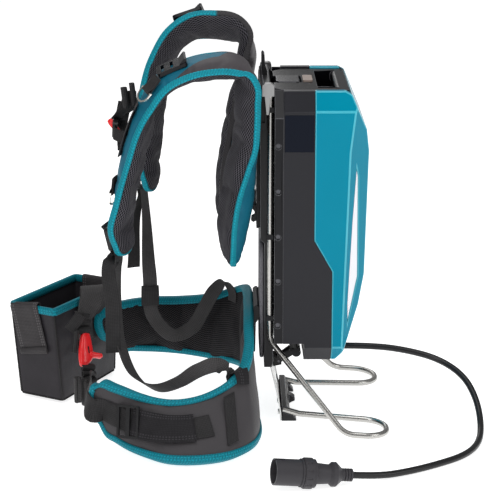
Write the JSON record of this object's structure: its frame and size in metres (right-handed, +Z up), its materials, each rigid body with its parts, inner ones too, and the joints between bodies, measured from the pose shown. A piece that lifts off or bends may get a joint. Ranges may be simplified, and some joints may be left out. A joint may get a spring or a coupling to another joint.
{
  "type": "backpack power pack",
  "caption": "Backpack battery pack on a plate with wire feet, with padded shoulder straps, hip belt, open pouch and a supply cord ending in a round locking plug.",
  "frame": {"origin": "on the ground, under the middle of the base block", "axes": "+Z up, -Y the way the wearer faces, +X to the wearer's left"},
  "size_m": [0.6278, 0.8004, 0.6898],
  "materials": {
    "black_plastic": "fine moulded texture",
    "grey_plastic": "satin dark grey",
    "teal_plastic": "gloss teal",
    "deck_plastic": "satin grey",
    "smoke_plastic": "smoked gloss",
    "reflector": "pale reflective",
    "button_plastic": "satin beige",
    "red_plastic": "satin red",
    "steel": "satin nickel",
    "sheet_steel": "zinc plated",
    "ring_steel": "polished",
    "cells": "sleeved",
    "copper": "plain",
    "board": "green laminate",
    "rubber": "soft black",
    "foam": "stippled foam",
    "black_fabric": "woven",
    "mesh_fabric": "spacer mesh",
    "teal_fabric": "edge binding",
    "webbing": "flat webbing"
  },
  "bodies": {
    "pack": {"back_plate": "black_plastic", "base_block": "black_plastic", "belt_bracket": "black_plastic", "belt_webbing_left": "webbing", "belt_webbing_right": "webbing", "bus_bars": "copper", "case_cover": "black_plastic", "case_screws": "sheet_steel", "cell_blocks": "cells", "cell_holders": "black_plastic", "chest_buckle": "black_plastic", "chest_webbing": "webbing", "circuit_board": "board", "cord_gland": "black_plastic", "foot_wire_left": "steel", "foot_wire_right": "steel", "frame_bolts": "sheet_steel", "handle_deck": "deck_plastic", "hanger_tab": "black_plastic", "harness_plate": "black_plastic", "hip_wing_left": "black_fabric", "hip_wing_right": "black_fabric", "inner_shell": "grey_plastic", "latch_bracket": "black_plastic", "latch_pin": "sheet_steel", "lid_pin": "sheet_steel", "lifter_buckles": "black_plastic", "lumbar_pad": "mesh_fabric", "outer_shell": "teal_plastic", "plate_pad": "foam", "plug_body": "black_plastic", "plug_contacts": "copper", "pouch": "black_fabric", "pouch_bands": "webbing", "pouch_binding": "teal_fabric", "power_cord": "rubber", "reflector_strips": "reflector", "rod_clips": "black_plastic", "shoulder_pad_left": "mesh_fabric", "shoulder_pad_right": "mesh_fabric", "side_windows": "smoke_plastic", "strain_relief": "rubber", "strap_loops": "black_plastic", "strap_strips": "webbing", "strap_webbing_left": "webbing", "strap_webbing_right": "webbing", "strut_plate": "sheet_steel", "top_brackets": "sheet_steel", "waist_buckle": "red_plastic", "webbing_sliders": "black_plastic"},
    "lid": {"port_lid": "smoke_plastic"},
    "button": {"power_button": "button_plastic"},
    "latch": {"latch_lever": "black_plastic"},
    "upper_left_ring": {"upper_ring_left": "ring_steel"},
    "lower_left_ring": {"lower_ring_left": "ring_steel"},
    "upper_right_ring": {"upper_ring_right": "ring_steel"},
    "lower_right_ring": {"lower_ring_right": "ring_steel"},
    "waist_lever": {"waist_release": "red_plastic"},
    "chest_tab": {"chest_release": "red_plastic"},
    "collar": {"plug_collar": "grey_plastic"}
  },
  "joints": [
    {"name": "port_lid_hinge", "type": "hinge", "parent": "pack", "child": "lid", "pos_m": [0, 0.017, 0.572], "axis": [1, 0, 0], "range_deg": [-95, 0]},
    {"name": "power_button_press", "type": "slide", "parent": "pack", "child": "button", "axis": [0, 0, -1], "range_m": [0, 0.002], "stiffness_N_per_m": 500, "springref_m": -0.001},
    {"name": "latch_hinge", "type": "hinge", "parent": "pack", "child": "latch", "pos_m": [0, -0.014, 0.086], "axis": [1, 0, 0], "range_deg": [-55, 0], "stiffness_Nm_per_rad": 0.3, "springref_deg": 11.46},
    {"name": "upper_ring_left_swing", "type": "hinge", "parent": "pack", "child": "upper_left_ring", "pos_m": [0.12471, -0.23029, 0.58007], "axis": [0.7971, 0.476, -0.3715], "range_deg": [-100, 0]},
    {"name": "lower_ring_left_swing", "type": "hinge", "parent": "pack", "child": "lower_left_ring", "pos_m": [0.09734, -0.28913, 0.4062], "axis": [0.9662, -0.2567, -0.0226], "range_deg": [-100, 0]},
    {"name": "upper_ring_right_swing", "type": "hinge", "parent": "pack", "child": "upper_right_ring", "pos_m": [-0.10819, -0.21181, 0.61149], "axis": [0.8788, -0.4162, 0.2335], "range_deg": [-100, 0]},
    {"name": "lower_ring_right_swing", "type": "hinge", "parent": "pack", "child": "lower_right_ring", "pos_m": [-0.10605, -0.24674, 0.44144], "axis": [0.889, -0.4526, 0.0697], "range_deg": [-100, 0]},
    {"name": "waist_release_lift", "type": "hinge", "parent": "pack", "child": "waist_lever", "pos_m": [0.02571, -0.34563, 0.12616], "axis": [-0.576, 0.7976, -0.1792], "range_deg": [-20, 0], "stiffness_Nm_per_rad": 0.06, "springref_deg": 11.46},
    {"name": "chest_release_lift", "type": "hinge", "parent": "pack", "child": "chest_tab", "pos_m": [0.04287, -0.28886, 0.50206], "axis": [0.1204, 0.0467, 0.9916], "range_deg": [0, 18], "stiffness_Nm_per_rad": 0.03, "springref_deg": -11.46},
    {"name": "plug_collar_twist", "type": "hinge", "parent": "pack", "child": "collar", "pos_m": [0.37908, 0.02008, 0.02542], "axis": [0.2191, -0.9662, 0.1361], "range_deg": [0, 60]}
  ]
}
